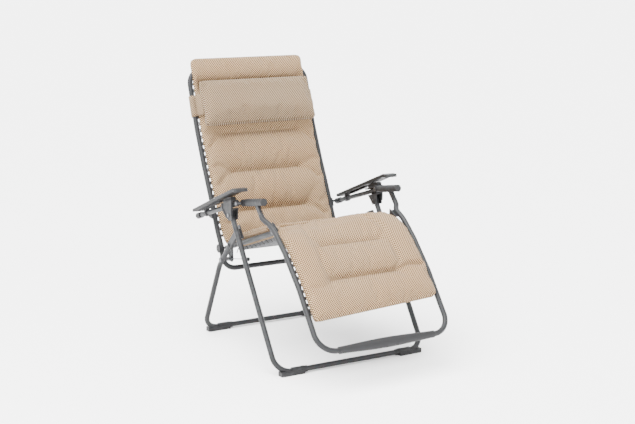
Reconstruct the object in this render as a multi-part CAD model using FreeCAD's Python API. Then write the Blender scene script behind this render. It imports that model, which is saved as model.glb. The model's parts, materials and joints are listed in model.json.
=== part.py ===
"""Zero gravity recliner: folding tube frame, sliding arm rails, laced sling pad.

Units are millimetres. +X is the sitter's left, +Y points to the back of the
chair and +Z is up. Profile points are given in a chair frame whose y = 0 is
the top of the front legs; SHIFT_Y moves every node so that the origin ends up
on the floor under the middle of the chair.
"""
import FreeCAD
import Part
import math
import os

# ---- overall ---------------------------------------------------------------
SHIFT_Y = 32.9

# ---- pivots, (y, z) in the chair frame ---------------------------------------
FOLD_PIVOT = (24.0, 472.0)       # rear legs on the front-leg lugs
BRACKET_PIVOT = (10.0, 536.0)    # slide bracket on the top of a front leg
SEAT_PIVOT = (156.0, 334.0)      # seat on the rear legs
BACK_PIVOT = (210.0, 366.0)      # backrest on the seat rails
KNEE_PIVOT = (-190.0, 500.0)     # leg rest on the seat rails
ARM_PIVOT = (288.0, 489.0)       # arm rail on the backrest
SLEEVE_PIVOT = (-132.0, 604.0)   # arm rail on the leg rest
RAIL_FRONT = (-43.0, 589.0)      # bolt between arm rail and front sleeve

# ---- tubes -----------------------------------------------------------------
TUBE_R = 10.0
TUBE_WALL = 1.5
FOOT_CORNER_R = 62.0

# ---- pins, bores and clearances --------------------------------------------------
PIN_R = 4.0                      # fold, back, knee and rail pins
PIN_BORE = 4.05
SEAT_PIN_R = 5.0
SEAT_BORE = 5.05
BRACKET_PIN_R = 3.2
BRACKET_BORE = 3.25
HEAD_R = 9.0
HEAD_GAP = 0.35                  # between a rivet head and the face it holds
HEAD_REACH = 3.0                 # how far a rivet stands out of that face
OPEN_GAP = 0.6                   # left free at each open pivot
TUBE_ROOM = 0.05                 # fit of plastic and plates round a tube
FIT = 0.2                        # between plates that lie side by side
ACROSS = 400.0                   # half length of a bore through both sides

# ---- lateral planes (distance of each centre line from the middle) ------------
FRONT_LEG_X = 318.0
REAR_LEG_X = 287.0
LEGREST_X = 275.0
BACK_X = 264.0
SEAT_RAIL_X = 238.0
RAIL_X = 318.0
SLEEVE_X = 290.0
PAD_X = 327.0

# ---- legs ------------------------------------------------------------------
SOLE = 4.0                       # plastic below the floor tubes
FLOOR_BAR_Z = SOLE + TUBE_R
FRONT_BAR_Y = -329.0
REAR_BAR_Y = 334.0
LEG_LEAN = 0.649                 # y per z of the front leg
LEG_LINE_Z = 521.0               # height at which the front-leg line crosses y = 0
LEG_TOP_Z = 544.0
REAR_ELBOW = (184.0, 306.0)
ELBOW_R = 90.0
FLAT_T = 10.0                    # thickness of the flattened rear-leg top
FLAT_W = 25.0
FLAT_START = (88.0, 404.0)

# ---- backrest, leg rest and seat centre lines, (y, z) --------------------------
BACK_LINE = [(197.0, 285.0), (210.0, 366.0), (246.0, 431.0), (297.0, 548.0),
             (352.0, 662.0), (414.0, 807.0), (490.0, 1036.0)]
BACK_BENDS = [52.0, 60.0, 160.0, 160.0, 160.0, 160.0, 60.0]
LEGREST_LINE = [(-200.0, 534.0), (-250.0, 508.0), (-320.0, 447.0), (-418.0, 340.0),
                (-500.0, 228.0), (-563.0, 144.0)]
LEGREST_BENDS = [45.0, 110.0, 160.0, 160.0, 160.0, 70.0]
TONGUE_T = 11.0                  # flattened top of the leg-rest tube
TONGUE_W = 18.0
TONGUE_END = (-172.0, 559.0)

# ---- arms ------------------------------------------------------------------
RAIL_R = 9.0
CAP_R = 12.0
SLEEVE_R = 14.0
SLEEVE_SEAM = 118.0              # joint between sleeve and front cap
SLEEVE_END = 152.0
SLOT_W = TONGUE_T + 1.0
CHEEK_OUT = (329.0, 333.0)       # outer cheek of the slide bracket
CHEEK_IN = (304.6, 307.6)
PAD_W = 56.0
PAD_T = 12.0
PAD_ROUND = 4.0
PAD_TOP = [(280.0, 519.0), (-62.0, 650.0), (-90.0, 651.0)]
STRUT_Y = 222.0

# ---- soft parts --------------------------------------------------------------
BACK_HALF = 247.0                # half width of the backrest pad
SEAT_HALF = 240.0
LEG_HALF = 257.0
PAD_BACK = -13.0                 # underside of the backrest and leg pads, off the tube line
PAD_FACE = 30.0
BACK_PAD_FOOT = (214.0, 392.0)
BACK_PAD_TOP = (505.0, 1072.0)
LEG_PAD_TOP = (-222.0, 514.0)
LEG_PAD_KNEE = (-262.0, 492.0)
LEG_PAD_FOOT = (-496.0, 233.0)
LACE_R = 1.6
LACE_PITCH = 17.0
LACE_DROP = 17.5                 # laces run this far behind the tube line

OUT = "parts"
SIDES = {"left": 1, "right": -1}


def vec(x, y, z):
    return FreeCAD.Vector(x, y, z)


def rounded_path(points, radii):
    """Open wire through the points, each inner corner rounded to its radius."""
    edges = []
    start = points[0]
    for i in range(1, len(points) - 1):
        before = (points[i - 1] - points[i]).normalize()
        after = (points[i + 1] - points[i]).normalize()
        half = before.getAngle(after) / 2
        radius = radii[i - 1] if isinstance(radii, (list, tuple)) else radii
        reach = radius / math.tan(half)
        enter = points[i] + before * reach
        leave = points[i] + after * reach
        inward = (before + after).normalize()
        middle = points[i] + inward * (radius / math.sin(half) - radius)
        if (enter - start).Length > 1e-4:
            edges.append(Part.LineSegment(start, enter).toShape())
        edges.append(Part.Arc(enter, middle, leave).toShape())
        start = leave
    edges.append(Part.LineSegment(start, points[-1]).toShape())
    return Part.Wire(edges)


def rod(path, radius):
    """Solid of a circle swept along the path."""
    first = path.Edges[0]
    at = first.valueAt(first.FirstParameter)
    along = first.tangentAt(first.FirstParameter)
    profile = Part.Wire([Part.makeCircle(radius, at, along)])
    return path.makePipeShell([profile], True, False)


def tube(path, radius=TUBE_R, wall=TUBE_WALL):
    return rod(path, radius).cut(rod(path, radius - wall))


def bar_x(x0, x1, centre, radius):
    """Cylinder along X between two planes, centred on a (y, z) point."""
    low = min(x0, x1)
    return Part.makeCylinder(radius, abs(x1 - x0), vec(low, centre[0], centre[1]), vec(1, 0, 0))


def cylinder(start, end, radius):
    span = end - start
    return Part.makeCylinder(radius, span.Length, start, span)


def plate_x(x0, x1, outline, corner=0.0):
    """Prism along X from a (y, z) outline, its upright edges rounded."""
    low = min(x0, x1)
    points = [vec(low, y, z) for y, z in outline]
    face = Part.Face(Part.makePolygon(points + [points[0]]))
    solid = face.extrude(vec(abs(x1 - x0), 0, 0))
    if corner:
        rim = [e for e in solid.Edges
               if abs(abs(e.tangentAt(e.FirstParameter).x) - 1) < 1e-6]
        solid = solid.makeFillet(corner, rim)
    return solid


def bore(centre, radius):
    """Cutter along X through both sides of the chair."""
    return bar_x(-ACROSS, ACROSS, centre, radius)


def mirrored(shape):
    return shape.mirror(vec(0, 0, 0), vec(1, 0, 0))


def for_side(shape, side):
    return shape if side > 0 else mirrored(shape)


def pair(shape):
    return Part.makeCompound([shape, mirrored(shape)])


def fuse_all(shapes):
    solid = shapes[0]
    for other in shapes[1:]:
        solid = solid.fuse(other)
    return solid.removeSplitter()


def unit2(a, b):
    length = math.hypot(b[0] - a[0], b[1] - a[1])
    return ((b[0] - a[0]) / length, (b[1] - a[1]) / length)


def along(origin, direction, distance, side=0.0):
    """Point a distance along a (y, z) direction and a distance to its left."""
    return (origin[0] + direction[0] * distance - direction[1] * side,
            origin[1] + direction[1] * distance + direction[0] * side)


def offset_line(points, distance):
    """Polyline moved sideways by a distance (positive is to the left)."""
    moved = []
    for i, point in enumerate(points):
        before = unit2(points[max(i - 1, 0)], points[max(i, 1)])
        last = len(points) - 1
        after = unit2(points[min(i, last - 1)], points[min(i + 1, last)])
        normal = unit2((0, 0), (-(before[1] + after[1]), before[0] + after[0]))
        stretch = distance / (normal[0] * -before[1] + normal[1] * before[0])
        moved.append((point[0] + normal[0] * stretch, point[1] + normal[1] * stretch))
    return moved


nodes = {}

# ---- front legs --------------------------------------------------------------


def front_leg_y(z):
    return -LEG_LEAN * (LEG_LINE_Z - z)


def u_frame(top, corner_y, x_half, extra=()):
    """Half points of a U tube: top, extra bends, then the floor corner."""
    half = [vec(x_half, top[0], top[1])]
    half += [vec(x_half, y, z) for y, z in extra]
    half.append(vec(x_half, corner_y, FLOOR_BAR_Z))
    return half + [vec(-p.x, p.y, p.z) for p in reversed(half)]


leg_top = (front_leg_y(LEG_TOP_Z), LEG_TOP_Z)
front_path = rounded_path(u_frame(leg_top, FRONT_BAR_Y, FRONT_LEG_X), FOOT_CORNER_R)
nodes["front_leg_frame"] = tube(front_path).cut(bore(BRACKET_PIVOT, BRACKET_PIN_R + 0.1))

# Fold lug: a cheek beside the rear leg's flat, with a web welded to the front leg.
# Its corners are (y, z) steps from the leg line and from the fold pivot.
LUG_T = 4.0
LUG_FROM_LEG = [(-8.0, -20.0), (24.0, 28.0)]
LUG_FROM_PIVOT = [(6.0, 15.0), (15.0, 4.0), (12.0, -12.0), (-4.0, -17.0)]
WEB_FROM_LEG = [(-4.0, -17.0), (16.0, 15.0), (20.0, 13.0), (0.0, -19.0)]
LUG_CORNER = 3.0


def steps_from(origin, steps):
    """Points given as (y, z) steps from an origin."""
    return [(origin[0] + y, origin[1] + z) for y, z in steps]


lug_root = (front_leg_y(FOLD_PIVOT[1]), FOLD_PIVOT[1])
lug_outline = steps_from(lug_root, LUG_FROM_LEG) + steps_from(FOLD_PIVOT, LUG_FROM_PIVOT)
flat_in = REAR_LEG_X - FLAT_T / 2
flat_out = REAR_LEG_X + FLAT_T / 2
LUG_IN = flat_out + 1.0
LUG_OUT = LUG_IN + LUG_T
lug = plate_x(LUG_IN, LUG_OUT, lug_outline, LUG_CORNER)
lug_web = plate_x(LUG_OUT, FRONT_LEG_X, steps_from(lug_root, WEB_FROM_LEG))
CORE_FOOT_Z = 420.0
leg_core = cylinder(vec(FRONT_LEG_X, front_leg_y(CORE_FOOT_Z), CORE_FOOT_Z),
                    vec(FRONT_LEG_X, *leg_top), TUBE_R)
lug = fuse_all([lug, lug_web]).cut(leg_core)
nodes["fold_lugs"] = pair(lug.cut(bore(FOLD_PIVOT, PIN_BORE)))
FOLD_HEAD_R = 8.0
FOLD_HEAD_IN = (3.5, 0.5)        # inner head, measured inwards from the flat
FOLD_HEAD_OUT = (0.3, 2.6)       # outer head, measured outwards from the lug
fold_rivet = fuse_all([bar_x(flat_in - 1.2, LUG_OUT + FOLD_HEAD_OUT[0], FOLD_PIVOT, PIN_R),
                       bar_x(flat_in - FOLD_HEAD_IN[0], flat_in - FOLD_HEAD_IN[1],
                             FOLD_PIVOT, FOLD_HEAD_R),
                       bar_x(LUG_OUT + FOLD_HEAD_OUT[0], LUG_OUT + FOLD_HEAD_OUT[1],
                             FOLD_PIVOT, FOLD_HEAD_R)])
nodes["fold_rivets"] = pair(fold_rivet)

PLUG_T = 3.0
plug_dir = unit2((0.0, LEG_LINE_Z), leg_top)
plug_a = along(leg_top, plug_dir, FIT)
plug_b = along(leg_top, plug_dir, FIT + PLUG_T)
nodes["leg_top_plugs"] = pair(cylinder(vec(FRONT_LEG_X, plug_a[0], plug_a[1]),
                                       vec(FRONT_LEG_X, plug_b[0], plug_b[1]), TUBE_R))


def floor_block(x_from, x_to, bar_y, width, height):
    """Block standing on the floor, centred on a floor tube."""
    return Part.makeBox(x_to - x_from, width, height, vec(x_from, bar_y - width / 2, 0.0))


def shoe(bar_y, frame_solid, x_half):
    """Plastic corner shoe under one bend of a floor tube, with a stepped end."""
    bar_at = (bar_y, FLOOR_BAR_Z)
    sole = floor_block(x_half - 110.0, x_half - 20.0, bar_y, 30.0, 14.0)
    heel = floor_block(x_half - 66.0, x_half - 14.0, bar_y, 27.0, 17.0)
    sleeve = bar_x(x_half - 112.0, x_half - 62.0, bar_at, TUBE_R + 3.2)
    step = bar_x(x_half - 124.0, x_half - 112.0, bar_at, TUBE_R + 2.0)
    room = floor_block(x_half - 130.0, x_half + 30.0, bar_y, 60.0, 60.0)
    return fuse_all([sleeve, step, sole, heel]).common(room).cut(frame_solid)


front_envelope = rod(front_path, TUBE_R + TUBE_ROOM)
front_shoe = shoe(FRONT_BAR_Y, front_envelope, FRONT_LEG_X)

# ---- rear legs ---------------------------------------------------------------
rear_top_dir = unit2(REAR_ELBOW, FOLD_PIVOT)
flat_start = along(REAR_ELBOW, rear_top_dir, math.dist(REAR_ELBOW, FLAT_START))
rear_path = rounded_path(u_frame(flat_start, REAR_BAR_Y, REAR_LEG_X, extra=(REAR_ELBOW,)),
                         [ELBOW_R, FOOT_CORNER_R, FOOT_CORNER_R, ELBOW_R])
flat_half = FLAT_W / 2
FLAT_OVERLAP = 14.0              # how far the flat runs down into the round tube
flat_outline = [along(flat_start, rear_top_dir, -FLAT_OVERLAP, flat_half),
                along(flat_start, rear_top_dir, -FLAT_OVERLAP, -flat_half),
                along(FOLD_PIVOT, rear_top_dir, 0.0, -flat_half),
                along(FOLD_PIVOT, rear_top_dir, 0.0, flat_half)]
flat = plate_x(flat_in, flat_out, flat_outline)
flat_eye = bar_x(flat_in, flat_out, FOLD_PIVOT, flat_half)
flat_top = fuse_all([flat, flat_eye])
rear_frame = fuse_all([tube(rear_path), flat_top, mirrored(flat_top)])
rear_frame = rear_frame.cut(bore(FOLD_PIVOT, PIN_BORE))
nodes["rear_leg_frame"] = rear_frame.cut(bore(SEAT_PIVOT, SEAT_BORE))
rear_envelope = rod(rear_path, TUBE_R + TUBE_ROOM)
rear_shoe = shoe(REAR_BAR_Y, rear_envelope, REAR_LEG_X)
for name, side in SIDES.items():
    nodes["front_shoe_" + name] = for_side(front_shoe, side)
    nodes["rear_shoe_" + name] = for_side(rear_shoe, side)

# ---- seat frame --------------------------------------------------------------
rail_dir = unit2(BACK_PIVOT, KNEE_PIVOT)
rail_up = (-rail_dir[1], rail_dir[0])


def seat_point(distance, height):
    """Point a distance ahead of the back pivot and a height above the rail line."""
    return along(BACK_PIVOT, rail_dir, distance, -height)


RAIL_LENGTH = math.dist(BACK_PIVOT, KNEE_PIVOT)
RAIL_OVERHANG = 12.0             # seat rail beyond its end pivots
rail_back = seat_point(-RAIL_OVERHANG, 0.0)
rail_tip = seat_point(RAIL_LENGTH + RAIL_OVERHANG, 0.0)
rail_path = Part.Wire([Part.LineSegment(vec(SEAT_RAIL_X, *rail_back),
                                        vec(SEAT_RAIL_X, *rail_tip)).toShape()])
CROSS_BAR_R = 8.0
cross_at = seat_point(RAIL_LENGTH - 24.0, 0.0)
cross_bar = bar_x(-SEAT_RAIL_X, SEAT_RAIL_X, cross_at, CROSS_BAR_R)
cross_bar = cross_bar.cut(bar_x(-SEAT_RAIL_X, SEAT_RAIL_X, cross_at, CROSS_BAR_R - TUBE_WALL))
rail_core = rod(rail_path, TUBE_R - 0.5)
cross_bar = cross_bar.cut(rail_core).cut(mirrored(rail_core))
seat_rail = tube(rail_path)
seat_frame = fuse_all([seat_rail, mirrored(seat_rail), cross_bar])
seat_frame = seat_frame.cut(bore(BACK_PIVOT, PIN_BORE))
nodes["seat_frame"] = seat_frame.cut(bore(KNEE_PIVOT, PIN_BORE))

# Plate hanging from each seat rail down to the seat pivot; corners as (ahead, below).
LUG_X = SEAT_RAIL_X + TUBE_R + FIT
SEAT_LUG_T = 3.0
SEAT_LUG = [(-14.0, 8.0), (0.0, 14.0), (14.0, 8.0), (30.0, -47.0), (-22.0, -47.0)]
hang = [along(SEAT_PIVOT, rail_dir, ahead, below) for ahead, below in SEAT_LUG]
seat_lug = plate_x(LUG_X, LUG_X + SEAT_LUG_T, hang, LUG_CORNER)
nodes["seat_lugs"] = pair(seat_lug.cut(bore(SEAT_PIVOT, SEAT_BORE)))


def pivot_pin(x_in, x_out, centre, radius, head):
    """Rivet between two faces, with a round head outside each of them."""
    return fuse_all([bar_x(x_in - HEAD_REACH, x_out + HEAD_REACH, centre, radius),
                     bar_x(x_in - HEAD_REACH, x_in - HEAD_GAP, centre, head),
                     bar_x(x_out + HEAD_GAP, x_out + HEAD_REACH, centre, head)])


# The seat pin ends in a spacer just inside the rear leg; a flush stud fills the leg's hole.
LEG_FACE = REAR_LEG_X - TUBE_R
SPACER_ROOT = LUG_X + 10.8
SPACER_R = 8.0
pin_from = LUG_X - HEAD_REACH
pin_to = LEG_FACE - OPEN_GAP
seat_pin = fuse_all([bar_x(pin_from, pin_to, SEAT_PIVOT, SEAT_PIN_R),
                     bar_x(pin_from, LUG_X - HEAD_GAP, SEAT_PIVOT, HEAD_R),
                     bar_x(SPACER_ROOT, pin_to, SEAT_PIVOT, SPACER_R)])
nodes["seat_pivot_pins"] = pair(seat_pin)
leg_outside = REAR_LEG_X + TUBE_R
stud = fuse_all([bar_x(LEG_FACE, leg_outside + HEAD_REACH, SEAT_PIVOT, SEAT_PIN_R),
                 bar_x(leg_outside + HEAD_GAP, leg_outside + HEAD_REACH, SEAT_PIVOT, HEAD_R)])
nodes["rear_leg_studs"] = pair(stud)
rail_inside = SEAT_RAIL_X - TUBE_R
nodes["back_pivot_pins"] = pair(pivot_pin(rail_inside, BACK_X + TUBE_R,
                                          BACK_PIVOT, PIN_R, HEAD_R))

# Wire hook with a ball knob that turns on the right seat pin.
HOOK_X = LUG_X + 8.0
HOOK_EYE_R = 9.0
HOOK_EYE_T = 4.4
HOOK_WIRE_R = 1.6
KNOB_R = 8.0
HOOK_TIP = (8.0, 361.0)
hook_dir = unit2(SEAT_PIVOT, HOOK_TIP)
hook_root = along(SEAT_PIVOT, hook_dir, HOOK_EYE_R - 1.5)
hook_eye = bar_x(HOOK_X - HOOK_EYE_T / 2, HOOK_X + HOOK_EYE_T / 2, SEAT_PIVOT, HOOK_EYE_R)
hook_wire = cylinder(vec(HOOK_X, *hook_root), vec(HOOK_X, *HOOK_TIP), HOOK_WIRE_R)
hook = fuse_all([hook_eye, hook_wire])
nodes["fold_hook"] = mirrored(hook.cut(bore(SEAT_PIVOT, SEAT_BORE)))
knob = Part.makeSphere(KNOB_R, vec(HOOK_X, *along(HOOK_TIP, hook_dir, KNOB_R / 2)))
knob_bore = cylinder(vec(HOOK_X, *along(HOOK_TIP, hook_dir, -2.5 * KNOB_R)),
                     vec(HOOK_X, *HOOK_TIP), HOOK_WIRE_R + 0.02)
nodes["hook_knob"] = mirrored(knob.cut(knob_bore))

# ---- backrest ----------------------------------------------------------------
back_points = [vec(0, *BACK_LINE[0])] + [vec(BACK_X, y, z) for y, z in BACK_LINE]
back_points.append(vec(0, *BACK_LINE[-1]))
back_path = rounded_path(back_points, BACK_BENDS)
back_half = tube(back_path)
back_frame = fuse_all([back_half, mirrored(back_half)])
nodes["back_frame"] = back_frame.cut(bore(BACK_PIVOT, PIN_BORE))

COVER_X = BACK_X + TUBE_R + 3.4
COVER_T = 3.2
COVER_R = 17.0
COVER_ROUND = 2.2
cover = bar_x(COVER_X, COVER_X + COVER_T, BACK_PIVOT, COVER_R)
cover_rim = [e for e in cover.Edges
             if e.BoundBox.XLength < 1e-3 and e.BoundBox.XMin > COVER_X + COVER_T / 2]
nodes["back_joint_covers"] = pair(cover.makeFillet(COVER_ROUND, cover_rim))

back_axis = unit2(BACK_LINE[2], BACK_LINE[3])
arm_root = along(BACK_LINE[2], back_axis, (ARM_PIVOT[1] - BACK_LINE[2][1]) / back_axis[1])
ARM_PLATE_IN = BACK_X + TUBE_R + FIT
ARM_PLATE_OUT = ARM_PLATE_IN + 4.0
ARM_PLATE_TIP = [(0.0, -12.0), (12.0, -4.0), (8.0, 10.0)]
ARM_PLATE_ROOT = 17.0            # half its length along the backrest tube
ROOT_BITE = 4.0
arm_outline = [along(arm_root, back_axis, -ARM_PLATE_ROOT, ROOT_BITE)]
arm_outline += steps_from(ARM_PIVOT, ARM_PLATE_TIP)
arm_outline.append(along(arm_root, back_axis, ARM_PLATE_ROOT, ROOT_BITE))
arm_plate = plate_x(ARM_PLATE_IN, ARM_PLATE_OUT, arm_outline)
STUD_END = RAIL_X - CAP_R - OPEN_GAP
STUD_R = 5.0
arm_stud = bar_x(ARM_PLATE_OUT, STUD_END, ARM_PIVOT, STUD_R)
arm_head = bar_x(STUD_END - HEAD_REACH, STUD_END, ARM_PIVOT, HEAD_R)
nodes["arm_studs"] = pair(fuse_all([arm_plate, arm_stud, arm_head]))

# ---- leg rest ----------------------------------------------------------------
tongue_dir = unit2(SLEEVE_PIVOT, TONGUE_END)
tongue_len = math.dist(SLEEVE_PIVOT, TONGUE_END)
tube_start = along(TONGUE_END, tongue_dir, -4.0)
JOG_R = 20.0                     # bend where the tube steps inwards below the tongue
leg_points = [vec(SLEEVE_X, *tube_start), vec(SLEEVE_X, *along(TONGUE_END, tongue_dir, 12.0))]
leg_points += [vec(LEGREST_X, y, z) for y, z in LEGREST_LINE]
leg_points += [vec(-p.x, p.y, p.z) for p in reversed(leg_points)]
leg_path = rounded_path(leg_points, [JOG_R] + LEGREST_BENDS + LEGREST_BENDS[::-1] + [JOG_R])
tongue_in = SLEEVE_X - TONGUE_T / 2
tongue_out = SLEEVE_X + TONGUE_T / 2
tongue_low = tongue_len + 4.0
tongue = plate_x(tongue_in, tongue_out,
                 [along(SLEEVE_PIVOT, tongue_dir, 0.0, TONGUE_W / 2),
                  along(SLEEVE_PIVOT, tongue_dir, 0.0, -TONGUE_W / 2),
                  along(SLEEVE_PIVOT, tongue_dir, tongue_low, -TONGUE_W / 2),
                  along(SLEEVE_PIVOT, tongue_dir, tongue_low, TONGUE_W / 2)])
tongue_eye = bar_x(tongue_in, tongue_out, SLEEVE_PIVOT, TONGUE_W / 2)
tongue = fuse_all([tongue, tongue_eye])
nodes["legrest_frame"] = fuse_all([tube(leg_path), tongue, mirrored(tongue)])

knee_line = unit2(LEGREST_LINE[0], LEGREST_LINE[1])
knee_root = along(LEGREST_LINE[0], knee_line, 12.0)
KNEE_X = SEAT_RAIL_X + TUBE_R + 4.0
KNEE_LUG_T = 4.0
KNEE_TIP = [(2.0, 13.0), (12.0, 6.0), (10.0, -8.0), (-4.0, -13.0)]
KNEE_SPAN = (-24.0, 26.0)        # reach of the lug along the leg-rest tube
KNEE_FOOT = [(-18.0, 4.0), (-18.0, 9.0), (20.0, 9.0), (20.0, 4.0)]
KNEE_HEAD_R = 8.0
knee_outline = [along(knee_root, knee_line, KNEE_SPAN[0], 2.0)]
knee_outline += steps_from(KNEE_PIVOT, KNEE_TIP)
knee_outline.append(along(knee_root, knee_line, KNEE_SPAN[1], 2.0))
knee_lug = plate_x(KNEE_X, KNEE_X + KNEE_LUG_T, knee_outline)
knee_foot = plate_x(KNEE_X + KNEE_LUG_T, LEGREST_X,
                    [along(knee_root, knee_line, ahead, up) for ahead, up in KNEE_FOOT])
leg_envelope = rod(leg_path, TUBE_R + TUBE_ROOM)
knee_lug = fuse_all([knee_lug, knee_foot]).cut(leg_envelope)
knee_lug = knee_lug.cut(bore(KNEE_PIVOT, PIN_BORE))
nodes["knee_lugs"] = pair(knee_lug)
nodes["knee_pins"] = pair(pivot_pin(rail_inside, KNEE_X + KNEE_LUG_T,
                                    KNEE_PIVOT, PIN_R, KNEE_HEAD_R))

# Moulded sleeve on the foot bar, thicker and flatter in the middle.
ROLLER_SECTIONS = [(-200.0, 13.0, 13.0), (-150.0, 13.5, 14.5), (0.0, 15.5, 19.0),
                   (150.0, 13.5, 14.5), (200.0, 13.0, 13.0)]


def ellipse_at(x, centre, minor, major, direction):
    """Elliptic wire across X, its long axis on a (y, z) direction."""
    along_minor = vec(0, -direction[1], direction[0])
    along_major = vec(0, *direction)
    turn = FreeCAD.Matrix(along_major.x, along_minor.x, 1, x,
                          along_major.y, along_minor.y, 0, centre[0],
                          along_major.z, along_minor.z, 0, centre[1], 0, 0, 0, 1)
    flat = Part.Wire([Part.Ellipse(vec(0, 0, 0), major, minor).toShape()])
    return flat.transformGeometry(turn)


leg_foot_dir = unit2(LEGREST_LINE[-2], LEGREST_LINE[-1])
sections = [ellipse_at(x, LEGREST_LINE[-1], minor, major + 0.01, leg_foot_dir)
            for x, minor, major in ROLLER_SECTIONS]
roller = Part.makeLoft(sections, True, False)
nodes["foot_roller"] = roller.cut(bore(LEGREST_LINE[-1], TUBE_R + TUBE_ROOM))

# ---- arms ------------------------------------------------------------------
arm_dir = unit2(RAIL_FRONT, ARM_PIVOT)
sleeve_dir = unit2(RAIL_FRONT, SLEEVE_PIVOT)


def arm_point(origin, back, up):
    """Point a distance towards the rear along the rail and a height above it."""
    return along(origin, arm_dir, back, up)


def sleeve_point(ahead, up):
    return along(RAIL_FRONT, sleeve_dir, ahead, -up)


RAIL_PAST = 10.0                 # rail beyond the pivot on the backrest
CAP_HALF = 16.0
rail_end = arm_point(ARM_PIVOT, RAIL_PAST, 0.0)
rail = cylinder(vec(RAIL_X, *RAIL_FRONT), vec(RAIL_X, *rail_end), RAIL_R)
rail_hollow = cylinder(vec(RAIL_X, *arm_point(RAIL_FRONT, 14.0, 0.0)),
                       vec(RAIL_X, *arm_point(rail_end, 2.0, 0.0)), RAIL_R - TUBE_WALL)
arm_rail = rail.cut(rail_hollow).cut(bore(RAIL_FRONT, PIN_R))

cap = cylinder(vec(RAIL_X, *arm_point(ARM_PIVOT, -CAP_HALF, 0.0)),
               vec(RAIL_X, *arm_point(ARM_PIVOT, CAP_HALF, 0.0)), CAP_R)
rear_cap = cap.cut(cylinder(vec(RAIL_X, *arm_point(ARM_PIVOT, -CAP_HALF - 4.0, 0.0)),
                            vec(RAIL_X, *arm_point(rail_end, 0.1, 0.0)), RAIL_R + TUBE_ROOM))

# Front sleeve: an eye beside the rail, a neck, a barrel and a separate nose cap.
EYE_IN = SLEEVE_X - 9.0
EYE_OUT = SLEEVE_X + 11.0
EYE_R = 13.0
NECK_R = 10.0
NECK_END = 30.0
BARREL_START = 24.0
SEAM_HALF = 0.3
eye = bar_x(EYE_IN, EYE_OUT, RAIL_FRONT, EYE_R)
neck = cylinder(vec(SLEEVE_X, *RAIL_FRONT), vec(SLEEVE_X, *sleeve_point(NECK_END, 0.0)), NECK_R)
barrel = cylinder(vec(SLEEVE_X, *sleeve_point(BARREL_START, 0.0)),
                  vec(SLEEVE_X, *sleeve_point(SLEEVE_SEAM - SEAM_HALF, 0.0)), SLEEVE_R)
nose = cylinder(vec(SLEEVE_X, *sleeve_point(SLEEVE_SEAM + SEAM_HALF, 0.0)),
                vec(SLEEVE_X, *sleeve_point(SLEEVE_END, 0.0)), SLEEVE_R)
nose_rim = [e for e in nose.Edges if e.BoundBox.YMin < sleeve_point(SLEEVE_END - 4.0, 0.0)[0]
            and e.Curve.TypeId == "Part::GeomCircle"]
nose = nose.makeFillet(3.5, [nose_rim[0]])
slot_at = math.dist(RAIL_FRONT, SLEEVE_PIVOT)
# Slot for the leg-rest tongue, as (ahead of the pivot, up) corners.
SLOT = [(-14.5, 12.0), (13.0, 12.0), (24.0, 4.0), (60.0, -6.0), (60.0, -30.0), (-14.5, -30.0)]
slot_in = SLEEVE_X - SLOT_W / 2
slot_out = SLEEVE_X + SLOT_W / 2
slot = plate_x(slot_in, slot_out, [sleeve_point(slot_at + ahead, up) for ahead, up in SLOT])
sleeve = fuse_all([eye, neck, barrel]).cut(slot).cut(bore(RAIL_FRONT, PIN_R))
nose = nose.cut(slot)
BOLT_HEAD_R = 7.0
BOLT_IN = SLEEVE_X - 12.8
BOLT_HEAD_T = 2.5
rail_outside = RAIL_X + RAIL_R
bolt = fuse_all([bar_x(BOLT_IN, rail_outside + 0.4, RAIL_FRONT, PIN_R - 0.05),
                 bar_x(BOLT_IN, BOLT_IN + BOLT_HEAD_T, RAIL_FRONT, BOLT_HEAD_R),
                 bar_x(rail_outside + 0.3, rail_outside + 1.6, RAIL_FRONT, BOLT_HEAD_R)])
spacer = bar_x(EYE_OUT + FIT, RAIL_X - RAIL_R - FIT, RAIL_FRONT, BOLT_HEAD_R + 0.5)
spacer = spacer.cut(bore(RAIL_FRONT, PIN_R))

strut_at = along(RAIL_FRONT, arm_dir, (STRUT_Y - RAIL_FRONT[0]) / arm_dir[0])
pad_dir = unit2(PAD_TOP[0], PAD_TOP[1])
pad_low = [along(PAD_TOP[0], pad_dir, 0.0, PAD_T)]
pad_low += offset_line(PAD_TOP, PAD_T)[1:]
pad_plate = plate_x(PAD_X - PAD_W / 2, PAD_X + PAD_W / 2, PAD_TOP + list(reversed(pad_low)))
long_rim = [e for e in pad_plate.Edges if e.BoundBox.XLength < 1e-3 and e.Length > 2 * PAD_T - 4.0]
pad_plate = pad_plate.makeFillet(PAD_ROUND, long_rim)

# Upright box with rounded corners that gives the pad its outline seen from above.
PLAN_R = 17.0
PLAN_FLOOR = 420.0
PLAN_H = 300.0
plan_low_y = PAD_TOP[-1][0] - 4.0
plan_high_y = PAD_TOP[0][0] + 8.0
plan = Part.makeBox(PAD_W + 2.0, plan_high_y - plan_low_y, PLAN_H,
                    vec(PAD_X - PAD_W / 2 - 1.0, plan_low_y, PLAN_FLOOR))
plan = plan.makeFillet(PLAN_R, [e for e in plan.Edges if e.BoundBox.ZLength > PLAN_H / 2])
pad_plate = pad_plate.common(plan)
pad_foot = (STRUT_Y, PAD_TOP[0][1] + (PAD_TOP[0][0] - STRUT_Y) * -pad_dir[1] / pad_dir[0]
            - PAD_T / -pad_dir[0])
# Rib under the pad, as (ahead, below) corners from the strut; its top bites into the pad.
RIB_DEPTH = 7.0
RIB = [(16.0, -0.8), (150.0, -0.8), (138.0, RIB_DEPTH), (24.0, RIB_DEPTH)]
rib = plate_x(PAD_X - 8.0, PAD_X + 4.0,
              [along(pad_foot, pad_dir, ahead, below) for ahead, below in RIB])
arm_pad = fuse_all([pad_plate, rib])

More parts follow.
